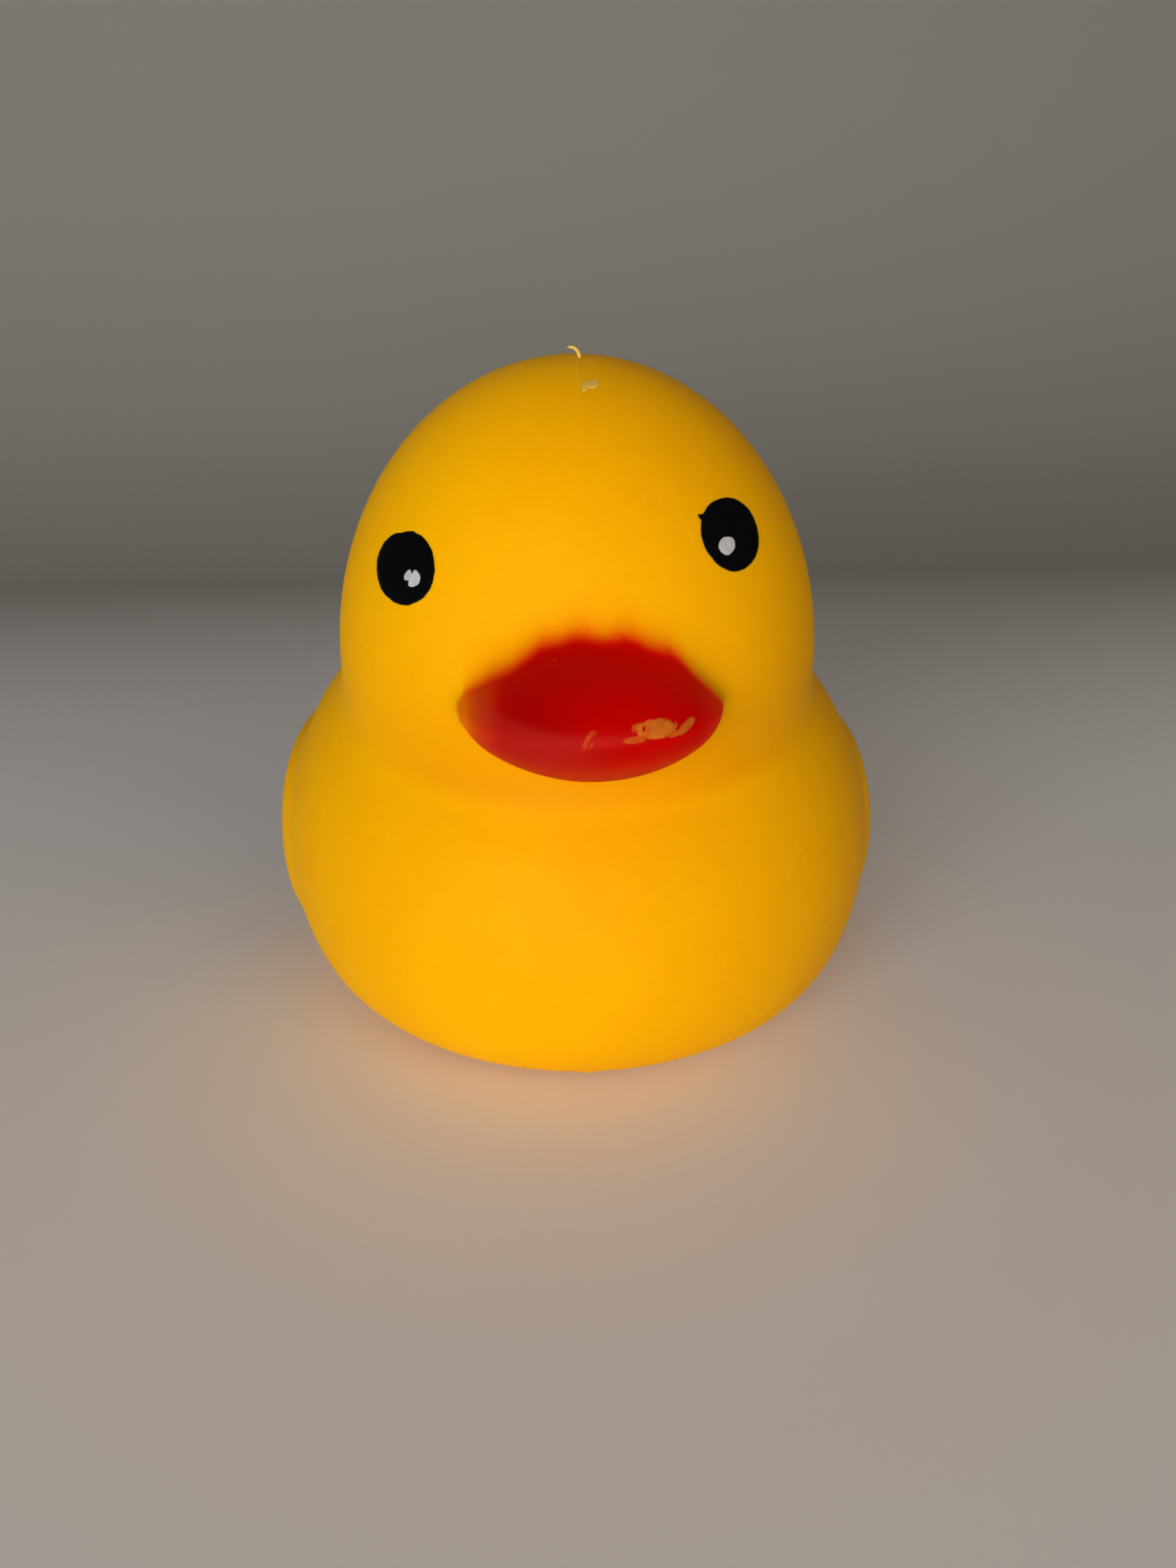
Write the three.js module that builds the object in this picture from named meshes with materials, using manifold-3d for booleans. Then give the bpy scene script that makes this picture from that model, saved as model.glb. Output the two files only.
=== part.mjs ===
// Squishy toy duck: one hollow moulding of soft vinyl that stands on its flat base, +Z up and bill towards -Y.
// The skin is one blended form of trunk, tail, wings, head and bill. The cavity is the same form one wall in.
import * as THREE from "three";
import { mergeVertices } from "three/addons/utils/BufferGeometryUtils.js";
import Module from "manifold-3d";

// Driving dimensions, in millimetres and degrees. A blend is how near two forms start to flow together.
const DUCK_HEIGHT = 75;
const WALL = 2.2;
const AIR_HOLE_DIAMETER = 3;

const TRUNK_WIDTH = 73.4;
const TRUNK_LENGTH = 85;
const TRUNK_DEPTH = 63.6; // of the whole egg, before the base cuts it
const TRUNK_MIDDLE = 18.6; // above the base
const TRUNK_PITCH = 9.3; // rear raised
const BASE_BLEND = 10;

const HEAD_WIDTH = 55.5;
const HEAD_LENGTH = 59;
const HEAD_DEPTH = 65.6; // of the whole egg, whose lower end is inside the trunk
const HEAD_FORWARD = 7.2; // of the trunk's middle
const NECK_BLEND = 3.8;

const BILL_WIDTH = 26.5; // from corner to corner
const BILL_LENGTH = 15.5; // from the corners to the tip
const BILL_RISE = 5.4; // of the upper half over the line of the corners
const BILL_DROP = 7.2; // of the lower half under that line
const BILL_DROOP = 6;
const BILL_LIFT = 1.8; // of the corners over the head's middle
const BILL_SINK = 3.7; // of the corners behind the head's front
const BILL_EDGE = 0.2; // rounding of the edge between the halves
const BILL_BLEND = 1.8; // under the bill
const BILL_ROOT_BLEND = 7; // over its root

const TAIL_LIFT = 20.9; // of the tip's middle over the trunk's middle
const TAIL_SINK = 0.5; // of the tip's middle ahead of the trunk's rear end
const TAIL_RUN = 19; // from root to tip, level
const TAIL_CLIMB = 12.5; // from root to tip, upwards
const TAIL_TIP_RADIUS = 4.5;
const TAIL_ROOT_RADIUS = 15;
const TAIL_WIDENING = 1.7; // width over depth
const TAIL_BLEND = 17;

const WING_LENGTH = 42;
const WING_DEPTH = 19;
const WING_BACK = 7; // of the trunk's middle
const WING_LIFT = 1.5; // of its middle over the trunk's middle
const WING_PITCH = 16; // rear raised
const WING_TAPER = 0.4; // share of the depth lost at the rear point and gained at the front
const WING_RELIEF = 1.35; // over the trunk, at its middle
const WING_FLARE = 0.5; // share of the relief gained at the rear point and lost at the front
const WING_EDGE_BLEND = 2.8;
const WING_FOOT_BLEND = 1.4;

// The mesh: columns run round the duck, and rows run from the crown and from the base to the neck's crease.
const SKIN_GRID = { columns: 92, headRows: 26, trunkRows: 28 };
const CAVITY_GRID = { columns: 26, headRows: 11, trunkRows: 11 };
const HOLE_SIDES = 24;
const END_CROWDING = 0.25; // how much closer the columns are at bill and tail than on average
const HEAD_ROW_POWER = 0.65; // below 1, the rows crowd towards the crease
const TRUNK_ROW_POWER = 0.55;
const STRIDE = 1; // of the walk along a ray before the halvings
const HALVINGS = 26;
const TINY = 1e-9; // keeps a slope above zero

const { clamp, degToRad, lerp } = THREE.MathUtils;
const at = (x, y, z) => new THREE.Vector3(x, y, z);
const UP = at(0, 0, 1);
const DOWN = at(0, 0, -1);
const ACROSS = at(1, 0, 0);

const trunkMiddle = at(0, 0, TRUNK_MIDDLE);
const trunkRadii = at(TRUNK_WIDTH, TRUNK_LENGTH, TRUNK_DEPTH).divideScalar(2);
const wingMiddle = trunkMiddle.clone().add(at(0, WING_BACK, WING_LIFT));
const tailTip = trunkMiddle.clone().add(at(0, TRUNK_LENGTH / 2 - TAIL_SINK, TAIL_LIFT));
const tailSpine = new THREE.Line3(tailTip.clone().sub(at(0, TAIL_RUN, TAIL_CLIMB)), tailTip);
const headMiddle = at(0, -HEAD_FORWARD, DUCK_HEIGHT - HEAD_DEPTH / 2);
const headRadii = at(HEAD_WIDTH, HEAD_LENGTH, HEAD_DEPTH).divideScalar(2);
const billMiddle = headMiddle.clone().add(at(0, BILL_SINK - HEAD_LENGTH / 2, BILL_LIFT));

// The lesser and the greater of two distances, rounded off where they come within the blend of each other.
function smoothMin(a, b, blend) {
  const share = Math.max(blend - Math.abs(a - b), 0) / blend;
  return Math.min(a, b) - (share ** 3 * blend) / 6;
}
const smoothMax = (a, b, blend) => -smoothMin(-a, -b, blend);

// A point as a piece sees it, from the piece's middle and with its rear raised by the pitch.
function seenFrom(point, middle, pitch = 0) {
  return point.clone().sub(middle).applyAxisAngle(ACROSS, -degToRad(pitch));
}

// Distance to an egg: how far its unit ball is passed, over how fast that grows.
function egg(q, radii) {
  const unit = q.clone().divide(radii);
  const reach = unit.length();
  return (reach * (reach - 1)) / Math.max(unit.divide(radii).length(), TINY);
}

// The tail is a cone with a ball at each end, wider than deep.
function tail(point) {
  const q = at(point.x / TAIL_WIDENING, point.y, point.z);
  const along = tailSpine.closestPointToPointParameter(q, true);
  return q.distanceTo(tailSpine.at(along, at(0, 0, 0))) - lerp(TAIL_ROOT_RADIUS, TAIL_TIP_RADIUS, along);
}

// A wing is a pad that stands proud of the trunk inside a teardrop outline, seen from the side.
function wing(point, trunk) {
  const q = seenFrom(point, wingMiddle, WING_PITCH);
  const back = q.y / (WING_LENGTH / 2);
  const share = clamp(back, -1, 1);
  const halfDepth = (WING_DEPTH / 2) * (1 - WING_TAPER * share);
  const outline = (Math.hypot(back, q.z / halfDepth) - 1) * (WING_DEPTH / 2);
  return smoothMax(trunk - WING_RELIEF * (1 + WING_FLARE * share), outline, WING_EDGE_BLEND);
}

// The bill is elliptic in plan and at its nose, with lens^2 + along^2 = 1 on its skin. The lens is the size of
// the section across it: a parabola above the corners, (across / lens)^2 + up / lens = 1, and an ellipse below
// them, across^2 + up^2 = lens^2.
function bill(point) {
  const q = seenFrom(point, billMiddle, BILL_DROOP);
  const isUpper = q.z > 0;
  const up = isUpper ? (Math.hypot(q.z, BILL_EDGE) - BILL_EDGE) / BILL_RISE : q.z / BILL_DROP;
  const across = q.x / (BILL_WIDTH / 2);
  const along = q.y / BILL_LENGTH;
  const root = Math.hypot(up, 2 * across) + TINY;
  const lens = isUpper ? (up + root) / 2 : Math.hypot(up, across);
  const reach = Math.hypot(lens, along) + TINY;
  const upSlope = isUpper ? (lens * (1 + up / root)) / 2 / BILL_RISE : up / BILL_DROP;
  const acrossSlope = (isUpper ? (lens * 2 * across) / root : across) / (BILL_WIDTH / 2);
  const slope = Math.hypot(upSlope, acrossSlope, along / BILL_LENGTH) / reach;
  return (reach - 1) / Math.max(slope, TINY);
}

function trunkForm(point) {
  const body = egg(seenFrom(point, trunkMiddle, TRUNK_PITCH), trunkRadii);
  const trunk = smoothMin(body, tail(point), TAIL_BLEND);
  return smoothMin(trunk, wing(point, trunk), WING_FOOT_BLEND);
}

// The bill flows broadly into the forehead and stands clear of the face at its corners and underneath.
function headForm(point) {
  const overCorners = seenFrom(point, billMiddle, BILL_DROOP).z;
  const blend = lerp(BILL_BLEND, BILL_ROOT_BLEND, clamp((2 * overCorners) / BILL_RISE, 0, 1));
  return smoothMin(egg(seenFrom(point, headMiddle), headRadii), bill(point), blend);
}

// The whole duck, cut off flat at the base: below zero inside, and near the skin about the distance to it.
function duckForm(point) {
  const duck = smoothMin(trunkForm(point), headForm(point), NECK_BLEND);
  return smoothMax(duck, -point.z, BASE_BLEND);
}

// Where a ray from inside comes to the given depth under the skin: a walk in strides, then halvings of the last.
function leave(origin, direction, depth) {
  const ray = new THREE.Ray(origin, direction);
  const point = at(0, 0, 0);
  const isOut = (reach) => duckForm(ray.at(reach, point)) > -depth;
  let near = 0;
  let far = STRIDE;
  while (!isOut(far)) {
    near = far;
    far += STRIDE;
  }
  for (let i = 0; i < HALVINGS; i++) {
    const middle = (near + far) / 2;
    if (isOut(middle)) far = middle;
    else near = middle;
  }
  return ray.at(near, at(0, 0, 0));
}

// The point of the neck's crease on one bearing: the level where head and trunk are equally near.
function crease(bearing, depth) {
  const onLevel = (level) => leave(at(0, headMiddle.y, level), bearing, depth);
  let low = trunkMiddle.z;
  let high = (headMiddle.z + DUCK_HEIGHT) / 2;
  for (let i = 0; i < HALVINGS; i++) {
    const level = (low + high) / 2;
    const point = onLevel(level);
    if (headForm(point) < trunkForm(point)) high = level;
    else low = level;
  }
  return onLevel(low);
}

// Points on one arc of the skin, from straight above or below a middle to the crease.
function arc(middle, pole, end, rows, power, depth) {
  const toEnd = end.clone().sub(middle);
  const full = toEnd.angleTo(pole);
  const aside = toEnd.projectOnPlane(pole).normalize();
  return Array.from({ length: rows + 1 }, (_, row) => {
    const angle = full * (row / rows) ** power;
    const direction = pole.clone().multiplyScalar(Math.cos(angle)).addScaledVector(aside, Math.sin(angle));
    return leave(middle, direction, depth);
  });
}

// One column of the skin's grid, from the crown over the crease to the middle of the base. The head is seen from
// the level of the bill's corners, so that no ray grazes the bill.
function meridian(turn, { headRows, trunkRows }, depth) {
  const angle = turn - (END_CROWDING * Math.sin(2 * turn)) / 2;
  const end = crease(at(Math.sin(angle), -Math.cos(angle), 0), depth);
  const head = arc(at(0, headMiddle.y, billMiddle.z), UP, end, headRows, HEAD_ROW_POWER, depth);
  const trunk = arc(trunkMiddle, DOWN, end, trunkRows, TRUNK_ROW_POWER, depth);
  return [...head, ...trunk.reverse().slice(1)];
}

// A grid of points over the skin, or at the given depth under it, as a closed mesh. Each square of the grid is
// split along the diagonal that lies nearer to the skin, and at the crown and the base it is one triangle.
function skin(grid, depth) {
  const { columns } = grid;
  const rows = grid.headRows + grid.trunkRows;
  const turns = Array.from({ length: columns }, (_, column) => (2 * Math.PI * column) / columns);
  const points = turns.flatMap((turn) => meridian(turn, grid, depth));
  const number = (row, column) => (column % columns) * (rows + 1) + row;
  const offSkin = (i, j) => Math.abs(duckForm(points[i].clone().lerp(points[j], 0.5)) + depth);
  const triangles = [];
  for (let column = 0; column < columns; column++) {
    for (let row = 0; row < rows; row++) {
      const upper = number(row, column);
      const lower = number(row + 1, column);
      const nextUpper = number(row, column + 1);
      const nextLower = number(row + 1, column + 1);
      if (row === 0) triangles.push(upper, lower, nextLower);
      else if (row === rows - 1) triangles.push(upper, lower, nextUpper);
      else if (offSkin(upper, nextLower) < offSkin(lower, nextUpper))
        triangles.push(upper, lower, nextLower, upper, nextLower, nextUpper);
      else triangles.push(upper, lower, nextUpper, nextUpper, lower, nextLower);
    }
  }
  return mergeVertices(new THREE.BufferGeometry().setFromPoints(points).setIndex(triangles));
}

const wasm = await Module();
wasm.setup();

function solid(geometry) {
  const vertProperties = new Float32Array(geometry.getAttribute("position").array);
  const triVerts = new Uint32Array(geometry.index.array);
  return new wasm.Manifold(new wasm.Mesh({ numProp: 3, vertProperties, triVerts }));
}

// The air that a squeeze drives out leaves by one round hole in the base, cut with a wall to spare each way.
function airHole() {
  const radius = AIR_HOLE_DIAMETER / 2;
  const cylinder = new THREE.CylinderGeometry(radius, radius, 4 * WALL, HOLE_SIDES).rotateX(Math.PI / 2);
  cylinder.deleteAttribute("normal");
  cylinder.deleteAttribute("uv");
  return mergeVertices(cylinder);
}

function duckBody() {
  const cut = solid(skin(SKIN_GRID, 0))
    .subtract(solid(skin(CAVITY_GRID, WALL)))
    .subtract(solid(airHole()))
    .getMesh();
  const geometry = new THREE.BufferGeometry();
  geometry.setAttribute("position", new THREE.BufferAttribute(cut.vertProperties, 3));
  geometry.setIndex(new THREE.BufferAttribute(cut.triVerts, 1));
  geometry.computeVertexNormals();
  geometry.computeBoundingBox();
  const middle = geometry.boundingBox.getCenter(at(0, 0, 0));
  geometry.translate(-middle.x, -middle.y, -geometry.boundingBox.min.z);
  const vinyl = new THREE.MeshStandardMaterial({ color: 0xffb800, roughness: 0.5, metalness: 0 });
  const mesh = new THREE.Mesh(geometry, vinyl);
  mesh.name = "duck_body";
  return mesh;
}

const duck = new THREE.Group();
duck.add(duckBody());

export default duck;
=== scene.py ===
# A squishy toy duck of soft vinyl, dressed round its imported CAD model. Blender's places are in metres. The
# formulas work in millimetres and degrees, from the floor under the trunk's middle.
import math
import bpy
import numpy as np
from mathutils import Matrix, Vector


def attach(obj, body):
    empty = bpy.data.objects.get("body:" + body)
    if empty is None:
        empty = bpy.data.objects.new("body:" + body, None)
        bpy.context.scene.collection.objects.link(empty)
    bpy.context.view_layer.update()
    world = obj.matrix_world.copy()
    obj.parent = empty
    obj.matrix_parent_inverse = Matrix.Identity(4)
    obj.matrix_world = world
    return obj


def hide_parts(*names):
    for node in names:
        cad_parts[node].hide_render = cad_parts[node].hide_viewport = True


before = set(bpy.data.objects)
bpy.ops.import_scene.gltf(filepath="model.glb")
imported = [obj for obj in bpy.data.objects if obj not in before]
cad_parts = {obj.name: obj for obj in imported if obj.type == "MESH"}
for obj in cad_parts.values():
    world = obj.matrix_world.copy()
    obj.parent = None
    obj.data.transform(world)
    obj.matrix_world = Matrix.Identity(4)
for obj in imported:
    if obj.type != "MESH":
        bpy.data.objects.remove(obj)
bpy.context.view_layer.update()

# The skin is nearly the whole toy: one hollow moulding in soft yellow vinyl, with a 2.2 mm wall and an air
# hole in its flat base. Trunk, tail, wing pads, head and bill flow into each other, and a parting line runs
# over the crown. The bill is sprayed red over a mask, so the paint is part of this piece's finish.
MM = 0.001
TINY = 1e-9
HALVINGS = 24
DUCK_HEIGHT = 75.0
WALL = 2.2

TRUNK_MIDDLE = np.array([0.0, 0.0, 18.6])
TRUNK_RADII = np.array([73.4, 85.0, 63.6]) / 2
TRUNK_PITCH = 9.3
TAIL_TIP = TRUNK_MIDDLE + (0.0, 42.0, 20.9)
TAIL_ROOT = TAIL_TIP - (0.0, 19.0, 12.5)
TAIL_TIP_RADIUS = 4.5
TAIL_ROOT_RADIUS = 15.0
TAIL_WIDENING = 1.7
WING_MIDDLE = TRUNK_MIDDLE + (0.0, 7.0, 1.5)
WING_LENGTH = 42.0
WING_DEPTH = 19.0
WING_PITCH = 16.0
WING_TAPER = 0.4
WING_RELIEF = 1.35
WING_FLARE = 0.5
HEAD_MIDDLE = np.array([0.0, -7.2, 42.2])
HEAD_RADII = np.array([55.5, 59.0, 65.6]) / 2
BILL_MIDDLE = HEAD_MIDDLE + (0.0, 3.7 - 29.5, 1.8)
BILL_WIDTH = 26.2
BILL_LENGTH = 15.5
BILL_RISE = 5.4
BILL_DROP = 7.2
BILL_DROOP = 6.0
# about the plane through the bill's corners: its rounding, how far under it the root's broad blend begins,
# the height over which the slope eases in, and how far the corners hang
BILL_EDGE = 0.2
BILL_CORNER = 1.0
BILL_EASE = 8.0
BILL_TIP_DROOP = 0.9
TAIL_BLEND = 17.0
WING_EDGE_BLEND = 2.8
WING_FOOT_BLEND = 1.4
BILL_BLEND = 1.8
BILL_ROOT_BLEND = 7.0
NECK_BLEND = 3.8
BASE_BLEND = 10.0


def smooth_min(a, b, blend):
    """The lesser of two distances, less a cubic fillet where they come within the blend of each other."""
    share = np.maximum(blend - np.abs(a - b), 0) / blend
    return np.minimum(a, b) - share**3 * blend / 6


def smooth_max(a, b, blend):
    """The greater of two distances, with the same fillet."""
    return -smooth_min(-a, -b, blend)


def seen_from(points, middle, pitch):
    """Points from a piece's middle, turned about X until the piece's rear, raised by the pitch, is level."""
    x, y, z = np.moveaxis(points - middle, -1, 0)
    c = math.cos(math.radians(pitch))
    s = math.sin(math.radians(pitch))
    return np.stack([x, y * c + z * s, z * c - y * s], -1)


def egg(points, radii):
    """Distance to an egg: reach (reach - 1) / |point / radii^2|, the reach being |point / radii|."""
    unit = points / radii
    reach = np.linalg.norm(unit, axis=-1)
    return reach * (reach - 1) / np.maximum(np.linalg.norm(unit / radii, axis=-1), TINY)


def tail(points):
    """Distance to a cone with a ball at each end: the way to its spine, less the radius there. X is narrowed
    first, so the tail comes out wide and flat."""
    narrowed = points / (TAIL_WIDENING, 1, 1) - TAIL_ROOT
    spine = TAIL_TIP - TAIL_ROOT
    share = np.clip(narrowed @ spine / (spine @ spine), 0, 1)
    away = np.linalg.norm(narrowed - share[..., None] * spine, axis=-1)
    return away - (TAIL_ROOT_RADIUS + (TAIL_TIP_RADIUS - TAIL_ROOT_RADIUS) * share)


def wing(points, trunk):
    """A pad proud of the trunk inside a teardrop, which is hypot(back, up / half depth) = 1 in side view and
    deeper in front."""
    _, y, z = np.moveaxis(seen_from(points, WING_MIDDLE, WING_PITCH), -1, 0)
    back = y / (WING_LENGTH / 2)
    share = np.clip(back, -1, 1)
    half_depth = WING_DEPTH / 2 * (1 - WING_TAPER * share)
    outline = (np.hypot(back, z / half_depth) - 1) * WING_DEPTH / 2
    return smooth_max(trunk - WING_RELIEF * (1 + WING_FLARE * share), outline, WING_EDGE_BLEND)


def beside_bill(points):
    """Points as the bill sees them, with the plane of its corners bent down by 2 droop s / (1 + s), s being
    the sixth power of the share of the half width. At the corners that is the tips' droop."""
    x, y, z = np.moveaxis(seen_from(points, BILL_MIDDLE, BILL_DROOP), -1, 0)
    s = (x / (BILL_WIDTH / 2)) ** 6
    return x, y, z + 2 * BILL_TIP_DROOP * s / (1 + s)


def bill(points):
    """Distance to the bill: lens^2 + along^2 = 1. Over the corners (across / lens)^2 + up / lens = 1 gives
    the lens, which is a parabola's, and under them lens^2 = across^2 + down^2, which is an ellipse's. The
    slope that makes this a distance is eased in over the corners' plane, so that no step shows."""
    x, y, z = beside_bill(points)
    across = x / (BILL_WIDTH / 2)
    along = y / BILL_LENGTH
    up = (np.hypot(z, BILL_EDGE) - BILL_EDGE) / BILL_RISE
    root = np.hypot(up, 2 * across) + TINY
    down = z / BILL_DROP
    lens = np.where(z > 0, (up + root) / 2, np.hypot(across, down))
    reach = np.hypot(lens, along) + TINY
    eased = z / np.hypot(z, BILL_EASE) / BILL_RISE
    up_slope = np.where(z > 0, lens * (1 + up / root) / 2 * eased, down / BILL_DROP)
    across_slope = np.where(z > 0, lens * 2 * across / root, across) / (BILL_WIDTH / 2)
    slope = np.hypot(np.hypot(up_slope, across_slope), along / BILL_LENGTH) / reach
    return (reach - 1) / np.maximum(slope, TINY)


def trunk_form(points):
    """Trunk and tail as one blend, with the wing pads on it."""
    trunk = egg(seen_from(points, TRUNK_MIDDLE, TRUNK_PITCH), TRUNK_RADII)
    trunk = smooth_min(trunk, tail(points), TAIL_BLEND)
    return smooth_min(trunk, wing(points, trunk), WING_FOOT_BLEND)


def head_form(points):
    """Head and bill as one blend, narrow under the bill, with a smooth step to broad over its root."""
    over = beside_bill(points)[2]
    share = np.clip((over + BILL_CORNER) / (BILL_RISE + BILL_CORNER), 0, 1)
    blend = BILL_BLEND + (BILL_ROOT_BLEND - BILL_BLEND) * share**2 * (3 - 2 * share)
    return smooth_min(egg(points - HEAD_MIDDLE, HEAD_RADII), bill(points), blend)


def duck_form(points):
    """The whole duck, cut off flat at the base: below zero inside, and near the skin the distance to it."""
    whole = smooth_min(trunk_form(points), head_form(points), NECK_BLEND)
    return smooth_max(whole, -points[..., 2], BASE_BLEND)


def outward(points):
    """Unit vectors along the form's slope, from differences a hundredth of a millimetre to each side."""
    steps = 0.01 * np.eye(3)
    slope = np.stack([duck_form(points + step) - duck_form(points - step) for step in steps], -1)
    return slope / np.linalg.norm(slope, axis=-1, keepdims=True)


def leave(origins, ways, depth=0.0):
    """Where rays from inside come to a depth under the skin: millimetre strides, then halvings of one."""
    near = np.zeros(ways.shape[:-1])
    walking = np.ones(near.shape, bool)
    while walking.any():
        walking &= duck_form(origins + ways * (near + 1)[..., None]) < -depth
        near = near + walking
    far = near + 1
    for _ in range(HALVINGS):
        middle = (near + far) / 2
        inside = duck_form(origins + ways * middle[..., None]) < -depth
        near = np.where(inside, middle, near)
        far = np.where(inside, far, middle)
    return origins + ways * near[..., None]


def neck_crease(bearings, depth):
    """A ring round the neck: on each bearing from the head's axis, the level where head and trunk meet."""
    low = np.full(bearings.shape, TRUNK_MIDDLE[2])
    high = np.full(bearings.shape, (HEAD_MIDDLE[2] + DUCK_HEIGHT) / 2)
    ways = np.stack([np.sin(bearings), -np.cos(bearings), np.zeros_like(bearings)], -1)
    for _ in range(HALVINGS):
        level = (low + high) / 2
        axis = np.stack([np.zeros_like(level), np.full_like(level, HEAD_MIDDLE[1]), level], -1)
        ring = leave(axis, ways, depth)
        head_nearer = head_form(ring) < trunk_form(ring)
        high = np.where(head_nearer, level, high)
        low = np.where(head_nearer, low, level)
    return ring


def headings(middle, ring):
    """Level unit vectors from a middle towards the points of a ring."""
    level = (ring - middle) * (1, 1, 0)
    return level / np.linalg.norm(level, axis=-1, keepdims=True)


def fan(middle, pole, ring, start, shares, depth):
    """Skin points on rays that turn from a pole to a ring: cos(angle) pole + sin(angle) heading."""
    heading = headings(middle, ring)
    end = np.arctan2(((ring - middle) * heading).sum(-1), ((ring - middle) * pole).sum(-1))
    angle = (start + (end - start) * shares[:, None])[..., None]
    return leave(middle, np.cos(angle) * pole + np.sin(angle) * heading, depth)


def crowded(count, crowds):
    """Shares from 0 to 1, closer together round some places: they step evenly through the running sum of
    1 + gain exp(-((share - place) / width)^2), added up over the places."""
    share = np.linspace(0, 1, 4001)
    place, width, gain = np.array(crowds).T
    density = 1 + (gain * np.exp(-(((share[:, None] - place) / width) ** 2))).sum(-1)
    summed = np.concatenate([[0], np.cumsum((density[1:] + density[:-1]) / 2)])
    return np.interp(np.linspace(0, summed[-1], count + 1), summed, share)


def spindle(name, start, rings, end):
    """A closed piece at the origin, from a start point over rings of points to an end point, all in mm."""
    rows, columns, _ = rings.shape
    vertices = np.concatenate([[start], rings.reshape(-1, 3), [end]]) * MM
    number = 1 + np.arange(rows * columns).reshape(rows, columns)
    beside = np.roll(number, -1, axis=1)
    squares = np.stack([number[:-1], number[1:], beside[1:], beside[:-1]], -1).reshape(-1, 4)
    first_cap = np.stack([np.zeros(columns, int), number[0], beside[0]], -1)
    last_cap = np.stack([np.full(columns, rows * columns + 1), beside[-1], number[-1]], -1)
    mesh = bpy.data.meshes.new(name)
    mesh.from_pydata(vertices.tolist(), [], first_cap.tolist() + squares.tolist() + last_cap.tolist())
    mesh.shade_smooth()
    piece = bpy.data.objects.new(name, mesh)
    bpy.context.scene.collection.objects.link(piece)
    return piece


class Wire:
    """One output of a node. Arithmetic on it adds Math nodes, and any other node comes from node()."""

    def __init__(self, tree, socket=None):
        self.tree = tree
        self.socket = socket

    def node(self, kind, settings=None, sockets=None, output=0):
        """Adds a node: its type, its settings, its inputs' values or wires, and which output is wanted."""
        made = self.tree.nodes.new("ShaderNode" + kind)
        for name, value in (settings or {}).items():
            setattr(made, name, value)
        for name, value in (sockets or {}).items():
            if isinstance(value, Wire):
                self.tree.links.new(value.socket, made.inputs[name])
            else:
                made.inputs[name].default_value = value
        return Wire(self.tree, made.outputs[output] if len(made.outputs) else None)

    def math(self, operation, first, second=0.0):
        return self.node("Math", {"operation": operation}, {0: first, 1: second})

    def __add__(self, other):
        return self.math("ADD", self, other)

    def __radd__(self, other):
        return self.math("ADD", other, self)

    def __sub__(self, other):
        return self.math("SUBTRACT", self, other)

    def __rsub__(self, other):
        return self.math("SUBTRACT", other, self)

    def __mul__(self, other):
        return self.math("MULTIPLY", self, other)

    def __rmul__(self, other):
        return self.math("MULTIPLY", other, self)

    def __truediv__(self, other):
        return self.math("DIVIDE", self, other)

    def __rtruediv__(self, other):
        return self.math("DIVIDE", other, self)

    def __pow__(self, other):
        return self.math("POWER", self, other)

    def __rpow__(self, other):
        return self.math("POWER", other, self)

    def __neg__(self):
        return self.math("MULTIPLY", self, -1.0)

    def __abs__(self):
        return self.math("ABSOLUTE", self)

    def least(self, other):
        return self.math("MINIMUM", self, other)

    def most(self, other):
        return self.math("MAXIMUM", self, other)

    def vector(self, operation, other, output=0):
        return self.node("VectorMath", {"operation": operation}, {0: self, 1: other}, output)

    def hypot(self, other):
        return (self * self + other * other) ** 0.5

    def fade(self, start, end):
        """0 before the start and 1 after the end, with a smooth step between."""
        limits = {"Value": self, "From Min": start, "From Max": end}
        return self.node("MapRange", {"interpolation_type": "SMOOTHSTEP"}, limits)

    def grain(self, scale, detail=2.0, roughness=0.5):
        """Noise over a place in millimetres, about -0.5 to 0.5, with scale waves to the millimetre."""
        sockets = {"Vector": self, "Scale": scale, "Detail": detail, "Roughness": roughness}
        return self.node("TexNoise", {}, sockets, "Fac") - 0.5

    def blend(self, colour, other):
        """A colour that goes from one to the other as this wire goes from 0 to 1."""
        return self.node("Mix", {"data_type": "RGBA"}, {0: self, 6: colour, 7: other}, 2)

    def tint(self, other):
        """This colour times another."""
        settings = {"data_type": "RGBA", "blend_type": "MULTIPLY"}
        return self.node("Mix", settings, {0: 1.0, 6: self, 7: other}, 2)


def bare_material(name):
    """A new material with no nodes, and a wire to build on."""
    material = bpy.data.materials.new(name)
    material.use_nodes = True
    material.node_tree.nodes.clear()
    return material, Wire(material.node_tree)


def place_on(tree):
    """Object coordinates in millimetres."""
    place = tree.node("TexCoord", output="Object")
    return place.node("VectorMath", {"operation": "SCALE"}, {0: place, "Scale": 1 / MM})


# columns crowd at bill and tail, where the parting line runs, and rows at the bill: place, width, gain
COLUMN_CROWDS = [(0, 0.008, 7), (0.5, 0.008, 7), (1, 0.008, 7), (0, 0.07, 1.4), (1, 0.07, 1.4)]
ROW_CROWDS = [(0.83, 0.12, 3.0)]
TRUNK_ROW_POWER = 0.85
SKIN_COLUMNS = 330
HEAD_ROWS = 116
TRUNK_ROWS = 130
LINING_ROWS = 16
HOLE_RADIUS = 1.5
HOLE_ROUNDING = 0.4
UP = np.array([0.0, 0.0, 1.0])

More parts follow.
